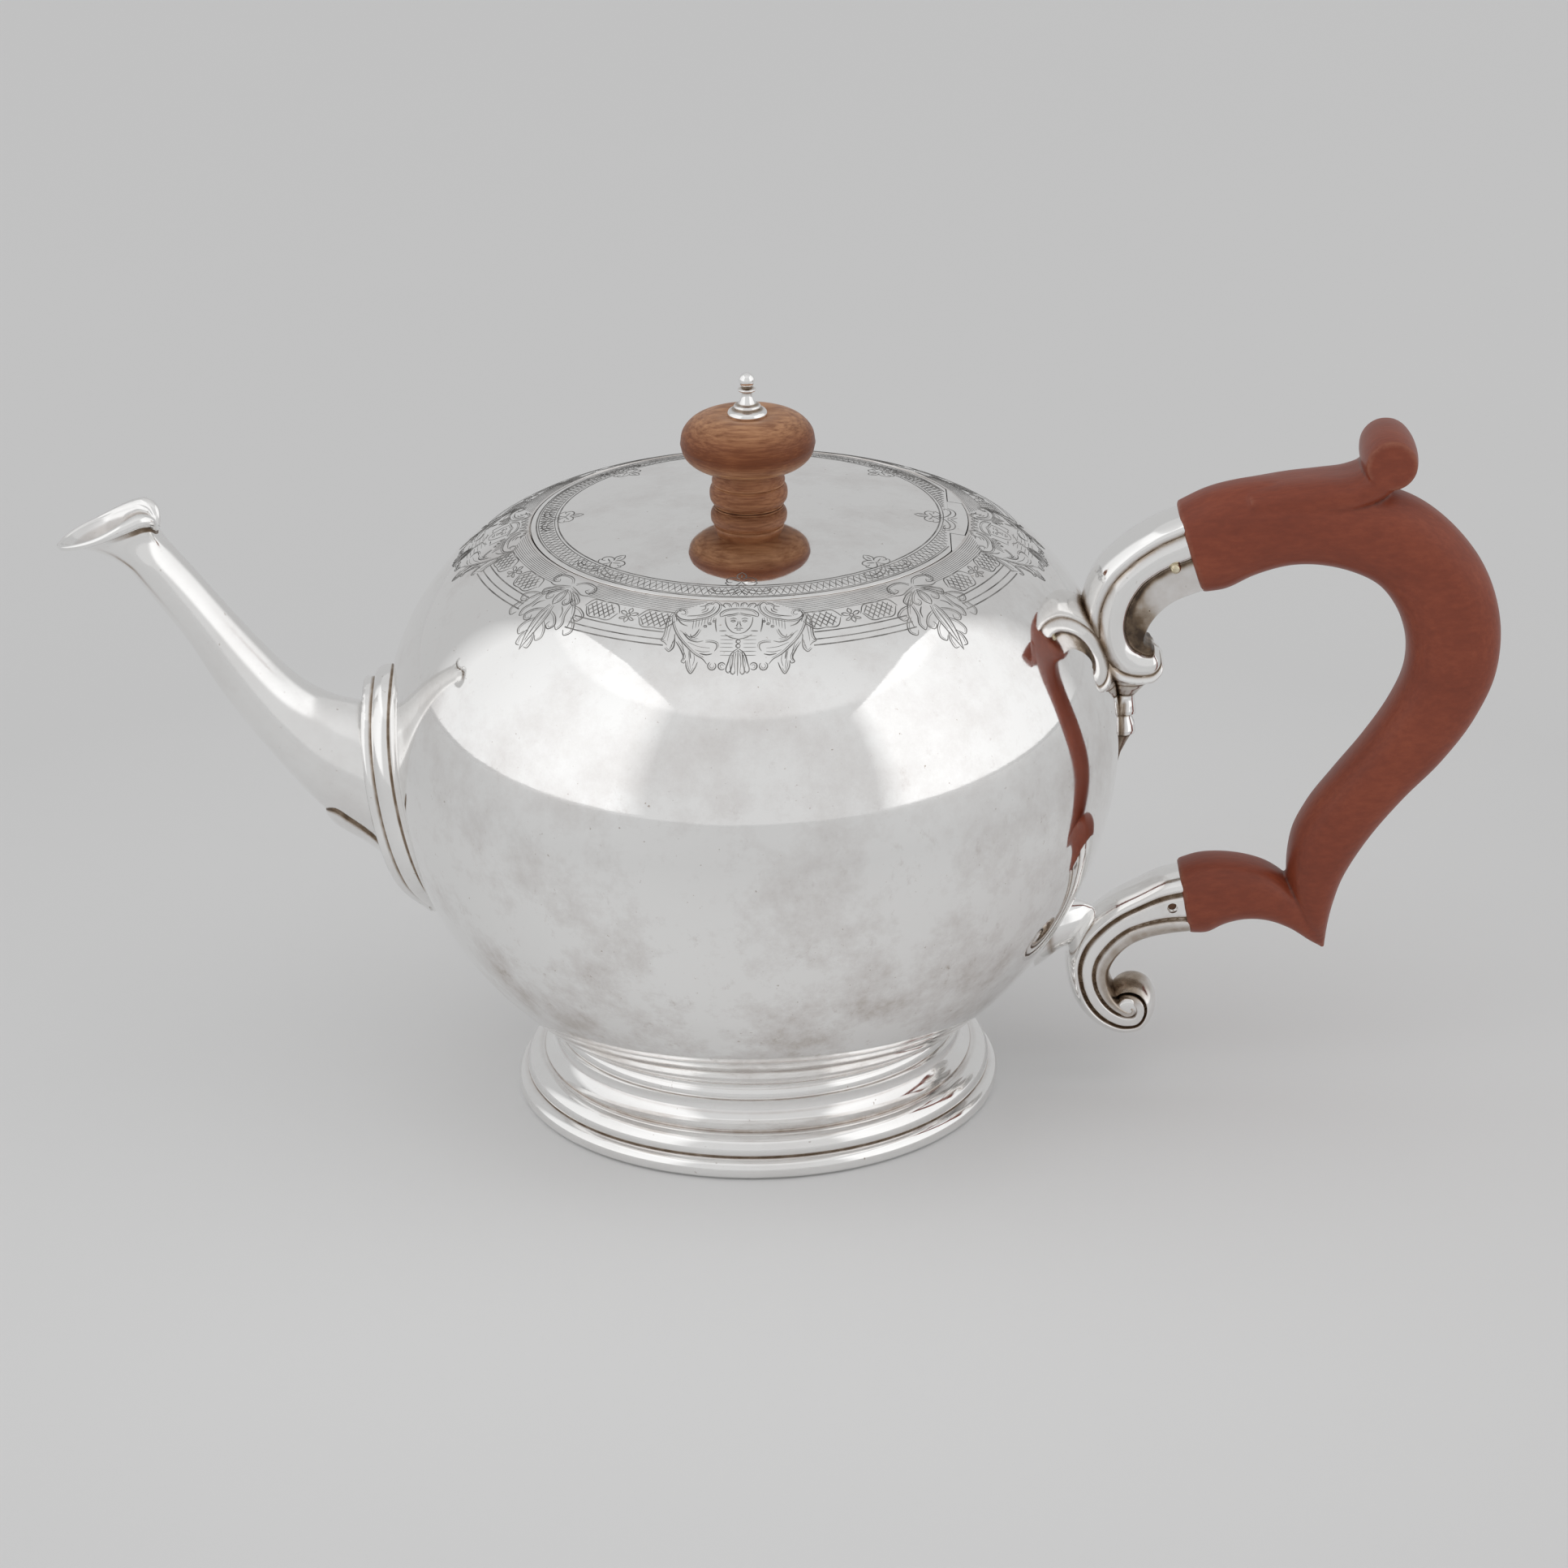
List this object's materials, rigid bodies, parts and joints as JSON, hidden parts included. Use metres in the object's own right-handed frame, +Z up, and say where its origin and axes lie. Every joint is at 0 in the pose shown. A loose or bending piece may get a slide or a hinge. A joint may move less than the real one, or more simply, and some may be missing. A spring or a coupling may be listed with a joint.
{
  "type": "teapot",
  "caption": "Round silver teapot on a moulded foot, with a cast spout, a flush hinged lid with a wooden knop, and a wooden scroll handle in cast sockets.",
  "frame": {"origin": "centre of the foot's resting face", "axes": "+Z up; the spout points to -X and the handle to +X; -Y is the side the picture shows"},
  "size_m": [0.2247, 0.1152, 0.1189],
  "materials": {
    "silver": "polished silver, fine scratches, light tarnish",
    "handle_wood": "oiled reddish-brown hardwood, worn edges",
    "knop_wood": "turned brown hardwood, fine grain",
    "pin_metal": "dull, tarnished"
  },
  "bodies": {
    "pot": {"body_shell": "silver", "foot_ring": "silver", "lid_seat": "silver", "spout": "silver", "spout_moulding": "silver", "hinge_knuckle_front": "silver", "hinge_knuckle_rear": "silver", "hinge_pin": "silver", "upper_socket": "silver", "upper_socket_drop": "silver", "upper_pin": "pin_metal", "lower_socket": "silver", "lower_pin": "pin_metal", "handle": "handle_wood"},
    "lid": {"lid_plate": "silver", "lid_bezel": "silver", "lid_knuckle": "silver", "knop": "knop_wood", "knop_finial": "silver", "knop_washer": "silver", "knop_nut": "silver"}
  },
  "joints": [
    {"name": "lid_hinge", "type": "hinge", "parent": "pot", "child": "lid", "pos_m": [0.032, 0, 0.09432], "axis": [0, 1, 0], "range_deg": [0, 90]}
  ]
}
